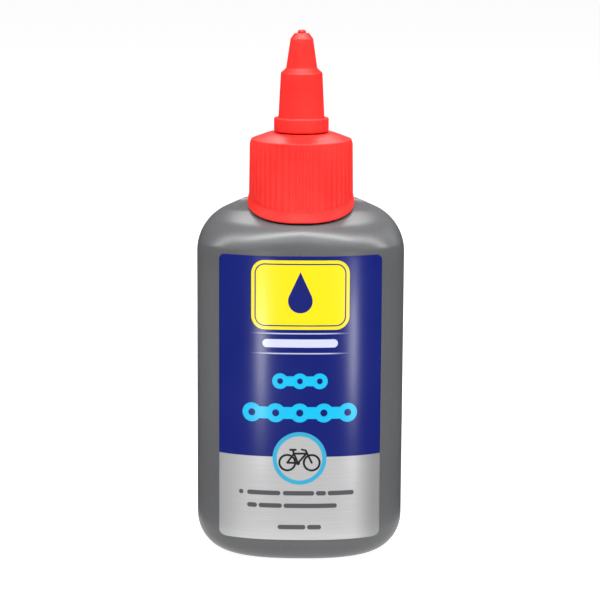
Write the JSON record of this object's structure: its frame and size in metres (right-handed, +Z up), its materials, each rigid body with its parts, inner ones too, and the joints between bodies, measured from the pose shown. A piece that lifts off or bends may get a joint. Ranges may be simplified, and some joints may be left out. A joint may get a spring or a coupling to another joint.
{
  "type": "chain lube bottle",
  "caption": "Oval plastic squeeze bottle for chain lubricant with a printed front label, a ribbed press-on closure and a tapered dosing tip that lifts to open.",
  "frame": {"origin": "centre of the bottle's footprint on its standing face, at the bottom of the whole object", "axes": "+Z up along the neck axis and the longest extent, +X to the right across the wide side, -Y out of the label"},
  "size_m": [0.053, 0.0345, 0.1348],
  "materials": {
    "bottle": "satin grey blown polyethylene",
    "closure": "satin red moulded polypropylene",
    "tip": "satin red moulded polypropylene",
    "label": "printed film, blue over silver"
  },
  "bodies": {
    "bottle_body": {"bottle": "bottle", "closure": "closure", "label": "label"},
    "tip_body": {"tip": "tip"}
  },
  "joints": [
    {"name": "tip_lift", "type": "slide", "parent": "bottle_body", "child": "tip_body", "axis": [0, 0, 1], "range_m": [0, 0.0035]}
  ]
}
